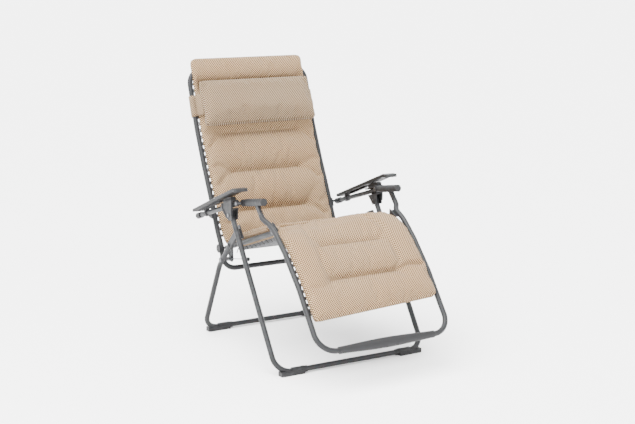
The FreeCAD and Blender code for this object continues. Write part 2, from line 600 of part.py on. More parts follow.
RING_HALF = 9.0
POST_X = (RAIL_X - 7.0, RAIL_X + 9.0)
POST_FOOT = [(-8.0, 6.0), (8.0, 6.0)]
POST_HEAD = [(-10.0, 0.1), (10.0, 0.1)]
strut_ring = cylinder(vec(RAIL_X, *along(strut_at, arm_dir, -RING_HALF)),
                      vec(RAIL_X, *along(strut_at, arm_dir, RING_HALF)), CAP_R + 0.5)
strut_post = plate_x(POST_X[0], POST_X[1],
                     [along(strut_at, arm_dir, ahead, up) for ahead, up in POST_FOOT]
                     + [along(pad_foot, pad_dir, ahead, below) for ahead, below in POST_HEAD])
strut = fuse_all([strut_ring, strut_post])
strut = strut.cut(cylinder(vec(RAIL_X, *arm_point(strut_at, -4 * RING_HALF, 0.0)),
                           vec(RAIL_X, *arm_point(strut_at, 4 * RING_HALF, 0.0)),
                           RAIL_R + TUBE_ROOM))
stub_in = bar_x(SLEEVE_X - SLEEVE_R - 1.5, slot_in - OPEN_GAP, SLEEVE_PIVOT, STUD_R)
stub_out = bar_x(slot_out + OPEN_GAP, SLEEVE_X + SLEEVE_R - 1.0, SLEEVE_PIVOT, STUD_R)
stub_hole = bar_x(SLEEVE_X - 40.0, SLEEVE_X + SLEEVE_R - 1.0, SLEEVE_PIVOT, STUD_R + 0.02)
sleeve = sleeve.cut(stub_hole)
nose = nose.cut(stub_hole)

# Slide bracket: a V-shaped cheek on each side of the leg top, a bridge under the
# rail and a roof over it. Heights are measured from the bracket pivot.
rail_height = abs((RAIL_FRONT[0] - BRACKET_PIVOT[0]) * arm_dir[1]
                  - (RAIL_FRONT[1] - BRACKET_PIVOT[1]) * arm_dir[0])
roof = rail_height + RAIL_R + 2.2
ROOF_T = 5.0
roof_top = roof + ROOF_T
BRIDGE = (18.5, 22.5)
FLARE = (-44.0, 45.0)            # front and back of the roof
RIB_OUT = 2.5


def bracket_plate(x_range, outline):
    return plate_x(x_range[0], x_range[1],
                   [arm_point(BRACKET_PIVOT, back, up) for back, up in outline])


def side_by(low, high):
    """Corners of an upright rectangle between two (back, up) corners."""
    return [low, (high[0], low[1]), high, (low[0], high[1])]


CHEEK_FOOT = [(-20.0, -19.0), (7.0, -19.0), (16.0, 0.0)]
outer_cheek = bracket_plate(CHEEK_OUT, CHEEK_FOOT + [(42.0, 26.0), (FLARE[1], roof_top),
                                                     (FLARE[0], roof_top), (-42.0, 30.0),
                                                     (-26.0, 0.0)])
inner_cheek = bracket_plate(CHEEK_IN, CHEEK_FOOT + [(30.0, BRIDGE[1]), (-34.0, BRIDGE[1]),
                                                    (-26.0, 0.0)])
bracket_x = (CHEEK_IN[0], CHEEK_OUT[1])
bridge = bracket_plate(bracket_x, side_by((-34.0, BRIDGE[0]), (30.0, BRIDGE[1])))
cover_plate = bracket_plate(bracket_x, side_by((FLARE[0], roof), (FLARE[1], roof_top)))
rib_x = (CHEEK_OUT[0], CHEEK_OUT[1] + RIB_OUT)
front_rib = bracket_plate(rib_x, [(-26.0, -6.0), (-20.0, -6.0), (-37.0, roof_top),
                                  (FLARE[0], roof_top)])
back_rib = bracket_plate(rib_x, [(7.0, -10.0), (13.0, -10.0), (FLARE[1], 30.0),
                                 (FLARE[1], roof_top), (38.0, roof_top), (38.0, 32.0)])
bracket = fuse_all([outer_cheek, inner_cheek, bridge, cover_plate, front_rib, back_rib])
bracket = bracket.cut(bore(BRACKET_PIVOT, BRACKET_BORE))
RIVET_HEAD_R = 7.0
rivet_end = CHEEK_OUT[1] + HEAD_REACH
rivet = fuse_all([bar_x(CHEEK_IN[0], rivet_end, BRACKET_PIVOT, BRACKET_PIN_R),
                  bar_x(CHEEK_OUT[1] + FIT, rivet_end, BRACKET_PIVOT, RIVET_HEAD_R)])

# Lock lever: a ribbed block on the bracket roof that swings outwards.
LEVER_X = (312.0, 332.0)
LEVER_Y = (-40.0, 32.0)
LEVER_UP = (roof_top + 0.5, roof_top + 15.5)
lever = bracket_plate(LEVER_X, [(LEVER_Y[0], LEVER_UP[0]), (LEVER_Y[1], LEVER_UP[0]),
                                (LEVER_Y[1], LEVER_UP[1] - 4.0), (-6.0, LEVER_UP[1]),
                                (LEVER_Y[0], LEVER_UP[1] - 3.0)])
GROOVES = 6
GROOVE_W = 3.5
GROOVE_DEPTH = 1.4
GROOVE_UP = (LEVER_UP[0] + 3.0, LEVER_UP[1] - 6.0)
groove_x = (LEVER_X[1] - GROOVE_DEPTH, LEVER_X[1] + 2.0)
for k in range(GROOVES):
    groove_at = LEVER_Y[0] + 4.0 + 8.0 * k
    lever = lever.cut(bracket_plate(groove_x, side_by((groove_at, GROOVE_UP[0]),
                                                      (groove_at + GROOVE_W, GROOVE_UP[1]))))
PIN_BACK = 22.0
PIN_X = 322.0
LEVER_PIN_R = 3.0
pin_low = arm_point(BRACKET_PIVOT, PIN_BACK, roof + 1.0)
pin_high = arm_point(BRACKET_PIVOT, PIN_BACK, LEVER_UP[1] - 6.0)
room_high = arm_point(BRACKET_PIVOT, PIN_BACK, LEVER_UP[1] - 5.9)
lever_pin = cylinder(vec(PIN_X, *pin_low), vec(PIN_X, *pin_high), LEVER_PIN_R)
pin_room = cylinder(vec(PIN_X, *pin_low), vec(PIN_X, *room_high), LEVER_PIN_R + 0.05)
lever = lever.cut(pin_room)
bracket = bracket.cut(pin_room)

for name, side in SIDES.items():
    nodes["arm_rail_" + name] = for_side(arm_rail, side)
    nodes["rail_end_cap_" + name] = for_side(rear_cap, side)
    nodes["arm_pad_" + name] = for_side(arm_pad, side)
    nodes["arm_strut_" + name] = for_side(strut, side)
    nodes["front_sleeve_" + name] = for_side(sleeve, side)
    nodes["sleeve_nose_" + name] = for_side(nose, side)
    nodes["sleeve_bolt_" + name] = for_side(bolt, side)
    nodes["sleeve_trim_" + name] = for_side(
        Part.makeCompound([spacer, stub_in, stub_out]), side)
    nodes["slide_bracket_" + name] = for_side(bracket, side)
    nodes["bracket_rivet_" + name] = for_side(rivet, side)
    nodes["lock_lever_" + name] = for_side(lever, side)
    nodes["lever_pin_" + name] = for_side(lever_pin, side)

# ---- soft parts ----------------------------------------------------------------


def slab(line, low, high, half_width, ends, corner):
    """Padded strip along a (y, z) line between two offsets from it."""
    lower = offset_line(line, low)
    upper = offset_line(line, high)
    solid = plate_x(-half_width, half_width, lower + list(reversed(upper)))
    rims = [e for e in solid.Edges if e.BoundBox.XLength > half_width]
    rounded = [e for e in rims if any(abs(e.BoundBox.YMin - p[0]) < 0.01
                                      and abs(e.BoundBox.ZMin - p[1]) < 0.01 for p in ends)]
    return solid.makeFillet(corner, rounded)


PAD_END_R = 12.0
back_line = [BACK_PAD_FOOT] + BACK_LINE[2:6] + [BACK_PAD_TOP]
back_ends = [offset_line(back_line, PAD_FACE)[-1], offset_line(back_line, PAD_BACK)[-1]]
back_pad = slab(back_line, PAD_BACK, PAD_FACE, BACK_HALF, back_ends, PAD_END_R)
back_envelope = rod(back_path, TUBE_R + 0.4)
nodes["back_pad"] = back_pad.cut(back_envelope).cut(mirrored(back_envelope))

SEAT_UP = (12.0, 42.0)           # seat pad above the rail line
SEAT_SAG = -28.0                 # sling's lowest face
SLING_HALF = 222.0
seat_end = RAIL_LENGTH - 36.0
sling_span = (30.0, RAIL_LENGTH - 44.0)
seat_top = plate_x(-SEAT_HALF, SEAT_HALF,
                   [seat_point(14.0, SEAT_UP[0]), seat_point(seat_end, SEAT_UP[0]),
                    seat_point(seat_end, SEAT_UP[1]), seat_point(50.0, SEAT_UP[1])])
seat_sling = plate_x(-SLING_HALF, SLING_HALF,
                     [seat_point(sling_span[0], SEAT_SAG), seat_point(sling_span[1], SEAT_SAG),
                      seat_point(sling_span[1], SEAT_UP[0] + 1.0),
                      seat_point(sling_span[0], SEAT_UP[0] + 1.0)])
nodes["seat_pad"] = fuse_all([seat_top, seat_sling])

leg_line = [LEG_PAD_TOP, LEG_PAD_KNEE] + LEGREST_LINE[2:4] + [LEG_PAD_FOOT]
leg_ends = [offset_line(leg_line, -PAD_FACE)[-1], offset_line(leg_line, -PAD_BACK)[-1],
            offset_line(leg_line, -PAD_FACE)[0]]
leg_pad = slab(leg_line, -PAD_FACE, -PAD_BACK, LEG_HALF, leg_ends, PAD_END_R)
LUG_CLEAR = 2.0
lug_box = knee_lug.BoundBox
lug_room = Part.makeBox(LEG_HALF - SEAT_RAIL_X + 11.0, lug_box.YLength + 2 * LUG_CLEAR,
                        lug_box.ZLength + 2 * LUG_CLEAR,
                        vec(KNEE_X - LUG_CLEAR, lug_box.YMin - LUG_CLEAR,
                            lug_box.ZMin - LUG_CLEAR))
leg_pad = leg_pad.cut(leg_envelope).cut(mirrored(leg_envelope))
nodes["legrest_pad"] = leg_pad.cut(lug_room).cut(mirrored(lug_room))

head_dir = unit2(BACK_LINE[-2], BACK_LINE[-1])


def head_point(height, ahead):
    """Point on the upper backrest at a height, a distance in front of the tubes."""
    reach = (height - BACK_LINE[-2][1]) / head_dir[1]
    return along(BACK_LINE[-2], head_dir, reach, ahead)


BAND_W = 84.0
BAND_T = 1.6
BAND_GAP = 3.0                   # room between the band and what it goes round
BAND_REAR = -22.0
band_mid = head_point(897.0, 0.0)


def band_prism(grow, length):
    """Prism round both side tubes and the pad between them, grown outwards."""
    side = BACK_X + TUBE_R + BAND_GAP + grow
    front = PAD_FACE + BAND_GAP + grow
    shoulder = BACK_HALF + 2.0
    outline = [(side, BAND_REAR - grow), (side, 12.0), (shoulder, front),
               (-shoulder, front), (-side, 12.0), (-side, BAND_REAR - grow)]
    start = along(band_mid, head_dir, -length / 2)
    points = [vec(x, *along(start, head_dir, 0.0, ahead)) for x, ahead in outline]
    face = Part.Face(Part.makePolygon(points + [points[0]]))
    return face.extrude(vec(0, *head_dir) * length)


nodes["pillow_band"] = band_prism(BAND_T, BAND_W).cut(band_prism(0.0, BAND_W + 4.0))

PILLOW_HALF = 246.0
PILLOW_T = 38.0
PILLOW_Z = (814.0, 982.0)        # bottom and top, measured on the tube line
PILLOW_ROUND = 14.0
pillow_line = [head_point(PILLOW_Z[0], 0.0), head_point(PILLOW_Z[1], 0.0)]
pillow_low = PAD_FACE + BAND_GAP + BAND_T + 0.6
pillow_high = pillow_low + PILLOW_T
pillow_ends = offset_line(pillow_line, pillow_low) + offset_line(pillow_line, pillow_high)
nodes["headrest_pillow"] = slab(pillow_line, pillow_low, pillow_high, PILLOW_HALF,
                                pillow_ends, PILLOW_ROUND)


LACE_BEND = 3.5


def lace(points):
    """Elastic cord laid in zigzag through the points."""
    return rod(rounded_path(points, LACE_BEND), LACE_R)


def line_walk(line, start, pitch, count):
    """Evenly spaced points along a (y, z) polyline."""
    walked = []
    for k in range(count):
        reach = start + pitch * k
        for a, b in zip(line, line[1:]):
            length = math.dist(a, b)
            if reach <= length:
                walked.append(along(a, unit2(a, b), reach))
                break
            reach -= length
    return walked


def edge_lace(line, start, count, x_in, x_out, behind):
    """Zigzag between a tube and the cloth's edge, laid behind both."""
    steps = line_walk(offset_line(line, behind), start, LACE_PITCH, count)
    return lace([vec(x_out if k % 2 else x_in, *p) for k, p in enumerate(steps)])


# Each lace starts a little way along its line and has a number of steps.
LACE_INSET = 9.0                 # from the pad's edge to the inner turns
back_lace = edge_lace(BACK_LINE[2:], 14.0, 34, BACK_HALF - LACE_INSET, BACK_X, -LACE_DROP)
leg_lace = edge_lace(LEGREST_LINE[1:], 66.0, 18, LEG_HALF - LACE_INSET, LEGREST_X, LACE_DROP)
SEAT_LACE_X = 228.0
SEAT_LACE_START = 52.0
SEAT_LACE_STEPS = 19
SEAT_LACE_UP = (-29.0, -14.0)
seat_steps = [seat_point(SEAT_LACE_START + LACE_PITCH * k, SEAT_LACE_UP[k % 2])
              for k in range(SEAT_LACE_STEPS)]
seat_lace = lace([vec(SEAT_LACE_X, *p) for p in seat_steps])
for name, side in SIDES.items():
    nodes["back_lace_" + name] = for_side(back_lace, side)
    nodes["legrest_lace_" + name] = for_side(leg_lace, side)
    nodes["seat_lace_" + name] = for_side(seat_lace, side)

# ---- export ------------------------------------------------------------------
os.makedirs(OUT, exist_ok=True)
shift = vec(0, SHIFT_Y, 0)
for name, shape in nodes.items():
    moved = shape.copy()
    moved.translate(shift)
    moved.exportStep(OUT + "/" + name + ".step")
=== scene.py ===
import json
import math

import bmesh
import bpy
from mathutils import Matrix, Vector


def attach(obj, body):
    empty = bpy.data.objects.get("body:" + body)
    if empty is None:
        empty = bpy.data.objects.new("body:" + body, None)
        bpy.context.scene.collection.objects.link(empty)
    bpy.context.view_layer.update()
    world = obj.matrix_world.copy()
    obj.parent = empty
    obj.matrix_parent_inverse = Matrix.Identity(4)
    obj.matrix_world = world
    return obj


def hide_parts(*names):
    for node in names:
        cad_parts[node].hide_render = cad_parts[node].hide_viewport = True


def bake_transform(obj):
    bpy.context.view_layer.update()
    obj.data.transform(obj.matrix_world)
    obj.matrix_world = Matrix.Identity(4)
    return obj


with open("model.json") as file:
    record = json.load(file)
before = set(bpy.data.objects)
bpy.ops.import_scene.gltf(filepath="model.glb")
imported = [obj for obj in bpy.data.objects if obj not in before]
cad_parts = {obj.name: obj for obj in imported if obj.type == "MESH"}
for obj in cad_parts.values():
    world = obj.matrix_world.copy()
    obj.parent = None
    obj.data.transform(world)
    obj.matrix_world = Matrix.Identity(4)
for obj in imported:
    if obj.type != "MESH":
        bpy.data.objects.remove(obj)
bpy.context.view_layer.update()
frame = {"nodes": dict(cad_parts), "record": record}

# ---- places, in metres --------------------------------------------------------------
# Side-view points are (y, z) in the chair's own frame; at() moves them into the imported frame.
SHIFT_Y = 0.0329
TUBE_R = 0.010
BACK_X = 0.264                   # middle of the backrest tubes
LEGREST_X = 0.275                # middle of the leg-rest tubes
BACK_HALF = 0.2525               # half widths of the pads
SEAT_HALF = 0.240
LEG_HALF = 0.2630
KNEE_HALF = 0.248                # leg pad where it passes inside the knee lugs
PILLOW_HALF = 0.246
BACK_PIVOT = (0.210, 0.366)
KNEE_PIVOT = (-0.190, 0.500)
BACK_TUBE = [(0.210, 0.366), (0.246, 0.431), (0.297, 0.548), (0.352, 0.662),
             (0.414, 0.807), (0.490, 1.036)]
LEG_TUBE = [(-0.250, 0.508), (-0.320, 0.447), (-0.418, 0.340), (-0.500, 0.228)]


def at(x, point):
    """Side-view point at x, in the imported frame."""
    return Vector((x, point[0] + SHIFT_Y, point[1]))


def lift(direction):
    """Side-view direction as a 3-D vector."""
    return Vector((0.0, direction[0], direction[1]))


# ---- node helpers ---------------------------------------------------------------


class Graph:
    """A material's node tree, built up by short calls."""

    def __init__(self, name):
        self.material = bpy.data.materials.new(name)
        self.material.use_nodes = True
        self.tree = self.material.node_tree
        self.shader = self.tree.nodes["Principled BSDF"]

    def node(self, kind, inputs=None, **settings):
        made = self.tree.nodes.new(kind)
        for key, value in settings.items():
            setattr(made, key, value)
        for key, value in (inputs or {}).items():
            self.put(made.inputs[key], value)
        return made

    def put(self, socket, value):
        if isinstance(value, bpy.types.NodeSocket):
            self.tree.links.new(value, socket)
        else:
            socket.default_value = value

    def math(self, operation, a, b=None):
        made = self.node("ShaderNodeMath", operation=operation)
        self.put(made.inputs[0], a)
        if b is not None:
            self.put(made.inputs[1], b)
        return made.outputs[0]

    def mix(self, factor, a, b, blend="MIX"):
        made = self.node("ShaderNodeMix", data_type="RGBA", blend_type=blend)
        self.put(made.inputs[0], factor)
        self.put(made.inputs[6], a)
        self.put(made.inputs[7], b)
        return made.outputs[2]

    def noise(self, vector, scale, detail=3.0):
        made = self.node("ShaderNodeTexNoise", {"Vector": vector, "Scale": scale,
                                                "Detail": detail, "Roughness": 0.5})
        return made.outputs["Fac"]

    def ramp(self, value, low, high, to_low=0.0, to_high=1.0):
        made = self.node("ShaderNodeMapRange", {"Value": value, "From Min": low, "From Max": high,
                                                "To Min": to_low, "To Max": to_high})
        return made.outputs["Result"]

    def bump(self, height, strength, distance):
        made = self.node("ShaderNodeBump", {"Height": height, "Strength": strength,
                                            "Distance": distance})
        return made.outputs["Normal"]

    def place(self):
        return self.node("ShaderNodeTexCoord").outputs["Object"]

    def uv(self):
        return self.node("ShaderNodeTexCoord").outputs["UV"]

    def finish(self, **sockets):
        for key, value in sockets.items():
            self.put(self.shader.inputs[key.replace("_", " ")], value)
        return self.material


def rgb(r, g, b):
    return (r, g, b, 1.0)


def coated(name, base, light, roughness, grain, grain_depth):
    """Painted or moulded grey: faint mottling, fine grain and paler worn edges."""
    g = Graph(name)
    place = g.place()
    mottle = g.ramp(g.noise(place, 14.0, 4.0), 0.3, 0.7)
    colour = g.mix(mottle, rgb(*base), rgb(*[c * 1.12 for c in base]))
    point = g.node("ShaderNodeNewGeometry").outputs["Pointiness"]
    edge = g.math("MULTIPLY", g.ramp(point, 0.52, 0.60), g.ramp(g.noise(place, 60.0), 0.4, 0.7))
    colour = g.mix(g.math("MULTIPLY", edge, 0.5), colour, rgb(*light))
    fine = g.noise(place, grain, 2.0)
    rough = g.ramp(g.noise(place, 35.0), 0.2, 0.8, roughness - 0.05, roughness + 0.07)
    return g.finish(Base_Color=colour, Roughness=rough, Specular_IOR_Level=0.2,
                    Normal=g.bump(fine, 0.35, grain_depth))


def steel(name):
    """Dull zinc plating with fine marks."""
    g = Graph(name)
    place = g.place()
    mark = g.noise(place, 180.0, 4.0)
    colour = g.mix(g.ramp(mark, 0.3, 0.7), rgb(0.085, 0.087, 0.092), rgb(0.150, 0.153, 0.160))
    return g.finish(Base_Color=colour, Metallic=1.0, Roughness=g.ramp(mark, 0.2, 0.8, 0.34, 0.52),
                    Normal=g.bump(mark, 0.2, 0.0002))


def spacer_mesh(name, light, dark, period=0.0084):
    """Two-tone knitted mesh: staggered pale dots over darker ground, patchy tint."""
    g = Graph(name)
    split = g.node("ShaderNodeSeparateXYZ", {"Vector": g.uv()})
    turn = 2 * math.pi / period
    wave_u = g.math("SINE", g.math("MULTIPLY", split.outputs["X"], turn))
    wave_v = g.math("SINE", g.math("MULTIPLY", split.outputs["Y"], turn * 0.92))
    cell = g.math("MULTIPLY", wave_u, wave_v)
    dot = g.ramp(cell, -0.20, 0.52)
    place = g.place()
    tint = g.ramp(g.noise(place, 5.5, 2.0), 0.35, 0.65)
    warm = g.mix(tint, rgb(*dark), rgb(dark[0] * 1.06, dark[1] * 0.97, dark[2] * 0.92))
    pale = g.mix(tint, rgb(*light), rgb(light[0] * 1.0, light[1] * 0.965, light[2] * 0.93))
    yarn = g.ramp(g.noise(place, 900.0, 2.0), 0.3, 0.7, 0.92, 1.06)
    colour = g.mix(dot, warm, pale)
    tone = g.node("ShaderNodeCombineColor", {"Red": yarn, "Green": yarn, "Blue": yarn})
    colour = g.mix(1.0, colour, tone.outputs["Color"], "MULTIPLY")
    rib = g.math("SINE", g.math("MULTIPLY", split.outputs["Y"], 2 * math.pi / 0.0016))
    height = g.math("ADD", dot, g.math("MULTIPLY", rib, 0.18))
    return g.finish(Base_Color=colour, Roughness=0.88, Sheen_Weight=0.06, Sheen_Roughness=0.5,
                    Specular_IOR_Level=0.15, Normal=g.bump(height, 0.55, 0.0011))


def plain_weave(name, base, pale, period):
    """Tight woven cloth for the underside of the sling."""
    g = Graph(name)
    split = g.node("ShaderNodeSeparateXYZ", {"Vector": g.uv()})
    turn = 2 * math.pi / period
    warp = g.math("SINE", g.math("MULTIPLY", split.outputs["X"], turn))
    weft = g.math("SINE", g.math("MULTIPLY", split.outputs["Y"], turn))
    cell = g.math("MULTIPLY", warp, weft)
    colour = g.mix(g.ramp(cell, -0.5, 0.6), rgb(*base), rgb(*pale))
    return g.finish(Base_Color=colour, Roughness=0.8, Sheen_Weight=0.12,
                    Specular_IOR_Level=0.3, Normal=g.bump(cell, 0.5, 0.0005))


def elastic_cord(name):
    """Black cord with a small braid."""
    g = Graph(name)
    place = g.place()
    braid = g.node("ShaderNodeTexVoronoi", {"Vector": place, "Scale": 900.0})
    shade = g.ramp(braid.outputs["Distance"], 0.0, 0.7)
    colour = g.mix(shade, rgb(0.030, 0.030, 0.033), rgb(0.012, 0.012, 0.013))
    return g.finish(Base_Color=colour, Roughness=0.62,
                    Normal=g.bump(braid.outputs["Distance"], 0.5, 0.0003))


def thread(name, base):
    """Twisted sewing thread."""
    g = Graph(name)
    place = g.place()
    twist = g.node("ShaderNodeTexWave", {"Vector": place, "Scale": 900.0})
    colour = g.mix(twist.outputs["Fac"], rgb(*base), rgb(*[c * 0.8 for c in base]))
    return g.finish(Base_Color=colour, Roughness=0.7)


PAINT = coated("grey_powder_coat", (0.0125, 0.0127, 0.0136), (0.042, 0.044, 0.047), 0.42, 900.0,
               0.0002)
PLASTIC = coated("grey_plastic", (0.0112, 0.0113, 0.0119), (0.036, 0.037, 0.039), 0.52, 1400.0,
                 0.0003)
DARK = coated("dark_plastic", (0.0065, 0.0066, 0.0072), (0.020, 0.020, 0.022), 0.52, 1400.0,
              0.0003)
STEEL = steel("zinc_plated_steel")
MESH = spacer_mesh("beige_spacer_mesh", (0.420, 0.288, 0.160), (0.031, 0.015, 0.0070))
PILLOW_MESH = spacer_mesh("pillow_spacer_mesh", (0.300, 0.222, 0.138), (0.034, 0.019, 0.0095))
SLING = plain_weave("grey_sling_cloth", (0.020, 0.0205, 0.022), (0.042, 0.043, 0.046), 0.0022)
STRAP = spacer_mesh("strap_mesh", (0.300, 0.220, 0.137), (0.040, 0.022, 0.0105))
ELASTIC = elastic_cord("black_elastic")
THREAD = thread("sewing_thread", (0.100, 0.062, 0.032))
RECORD_SLOTS = {"frame_paint": PAINT, "grey_plastic": PLASTIC, "dark_plastic": DARK,
                "bare_steel": STEEL, "elastic": ELASTIC, "pad_fabric": MESH,
                "pillow_fabric": PILLOW_MESH}

for part in frame["record"]["subparts"]:
    node = frame["nodes"][part["node"]]
    node.data.materials.clear()
    node.data.materials.append(RECORD_SLOTS[part["material_slot"]])

# ---- mesh helpers ---------------------------------------------------------------


def new_object(name, vertices, faces, materials, smooth=True):
    """Mesh object from vertices and faces, linked into the scene."""
    mesh = bpy.data.meshes.new(name)
    mesh.from_pydata([tuple(v) for v in vertices], [], faces)
    for material in materials:
        mesh.materials.append(material)
    mesh.polygons.foreach_set("use_smooth", [smooth] * len(mesh.polygons))
    mesh.update()
    made = bpy.data.objects.new(name, mesh)
    bpy.context.scene.collection.objects.link(made)
    return made


def paint_uv(obj, coordinates):
    """Lay one UV pair on every vertex."""
    layer = obj.data.uv_layers.new(name="UVMap")
    for loop in obj.data.loops:
        layer.data[loop.index].uv = coordinates[loop.vertex_index]


def face_outward(obj):
    """Turn every face of a closed mesh to the outside."""
    mesh = bmesh.new()
    mesh.from_mesh(obj.data)
    bmesh.ops.recalc_face_normals(mesh, faces=mesh.faces)
    mesh.to_mesh(obj.data)
    mesh.free()


def smooth_line(points, passes=3):
    """Corner-cut a (y, z) polyline, keeping its ends."""
    line = [Vector(p) for p in points]
    for _ in range(passes):
        cut = [line[0]]
        for a, b in zip(line, line[1:]):
            cut += [a.lerp(b, 0.25), a.lerp(b, 0.75)]
        cut.append(line[-1])
        line = cut
    return line


def resample(line, step):
    """Evenly spaced (point, direction, reach) samples of a polyline."""
    total = sum((b - a).length for a, b in zip(line, line[1:]))
    count = max(2, round(total / step))
    wanted = [total * k / count for k in range(count + 1)]
    out, walked, k = [], 0.0, 0
    for a, b in zip(line, line[1:]):
        span = (b - a).length
        while k <= count and wanted[k] <= walked + span + 1e-9:
            out.append((a.lerp(b, (wanted[k] - walked) / span), wanted[k]))
            k += 1
        walked += span
    points = []
    for i, (point, reach) in enumerate(out):
        ahead = out[min(i + 1, len(out) - 1)][0] - out[max(i - 1, 0)][0]
        points.append((point, ahead.normalized(), reach))
    return points, total


def smoothstep(low, high, value):
    t = min(1.0, max(0.0, (value - low) / (high - low)))
    return t * t * (3 - 2 * t)


def bead(path, radius, sides):
    """Vertices and faces of a round capped tube along 3-D points."""
    vertices, faces = [], []
    count = len(path)
    normal = Vector((0, 0, 1))
    for i, point in enumerate(path):
        ahead = path[min(i + 1, count - 1)] - path[max(i - 1, 0)]
        ahead.normalize()
        normal = normal - ahead * normal.dot(ahead)
        if normal.length < 1e-4:
            normal = ahead.orthogonal()
        normal.normalize()
        side = ahead.cross(normal)
        for k in range(sides):
            turn = 2 * math.pi * k / sides
            vertices.append(point + normal * radius * math.cos(turn)
                            + side * radius * math.sin(turn))
    for i in range(count - 1):
        low, high = i * sides, (i + 1) * sides
        for k in range(sides):
            faces.append((low + k, low + (k + 1) % sides, high + (k + 1) % sides, high + k))
    faces.append(tuple(reversed(range(sides))))
    faces.append(tuple(range((count - 1) * sides, count * sides)))
    return vertices, faces


def merge(parts):
    """Join several (vertices, faces) pairs into one."""
    vertices, faces = [], []
    for more, more_faces in parts:
        start = len(vertices)
        vertices += list(more)
        faces += [tuple(i + start for i in face) for face in more_faces]
    return vertices, faces


def box_part(centre, axes, halves):
    """Box with its own axes, as vertices and faces."""
    corners = []
    for sx in (-1, 1):
        for sy in (-1, 1):
            for sz in (-1, 1):
                corners.append(centre + axes[0] * sx * halves[0] + axes[1] * sy * halves[1]
                               + axes[2] * sz * halves[2])
    faces = [(0, 1, 3, 2), (4, 6, 7, 5), (0, 4, 5, 1), (2, 3, 7, 6), (0, 2, 6, 4), (1, 5, 7, 3)]
    return corners, faces


# ---- padded pieces ----------------------------------------------------------------
GRID = 0.0065                    # spacing of a pad's mesh
SIM_FRAMES = 18
PRESSURE = 4.0
SKIN_SLACK = -0.035              # negative: the skin is cut a little larger than the pad
SLING_INSET = 0.03               # width of the face fabric turned over onto the back
DIP_SPREAD = 0.020               # how far the filling sinks beside a seam
GROOVE_DEPTH = 0.0080            # the sewn channel itself
GROOVE_WIDTH = 0.0080
CREASE_DEPTH = 0.010


def inflate(obj, pinned, cap):
    """Swell the mesh as a cloth skin held at its pinned points, at most cap metres."""
    rest = [v.co.copy() for v in obj.data.vertices]
    group = obj.vertex_groups.new(name="held")
    group.add(pinned, 1.0, "REPLACE")
    cloth = obj.modifiers.new("Skin", "CLOTH")
    settings = cloth.settings
    settings.quality = 5
    settings.mass = 0.25
    settings.tension_stiffness = 12.0
    settings.compression_stiffness = 12.0
    settings.shear_stiffness = 4.0
    settings.bending_stiffness = 0.6
    settings.tension_damping = 8.0
    settings.compression_damping = 8.0
    settings.shear_damping = 8.0
    settings.bending_damping = 1.0
    settings.air_damping = 4.0
    settings.use_pressure = True
    settings.uniform_pressure_force = PRESSURE
    settings.effector_weights.gravity = 0.0
    settings.vertex_group_mass = "held"
    settings.shrink_min = SKIN_SLACK
    cloth.collision_settings.use_collision = False
    cloth.point_cache.frame_start = 1
    cloth.point_cache.frame_end = SIM_FRAMES
    scene = bpy.context.scene
    for step in range(1, SIM_FRAMES + 1):
        scene.frame_set(step)
    depsgraph = bpy.context.evaluated_depsgraph_get()
    swollen = [v.co.copy() for v in obj.evaluated_get(depsgraph).data.vertices]
    obj.modifiers.clear()
    obj.vertex_groups.clear()
    scene.frame_set(1)
    for vertex, before, after in zip(obj.data.vertices, rest, swollen):
        move = after - before
        if move.length > cap:
            move *= cap / move.length
        vertex.co = before + move
    obj.data.update()


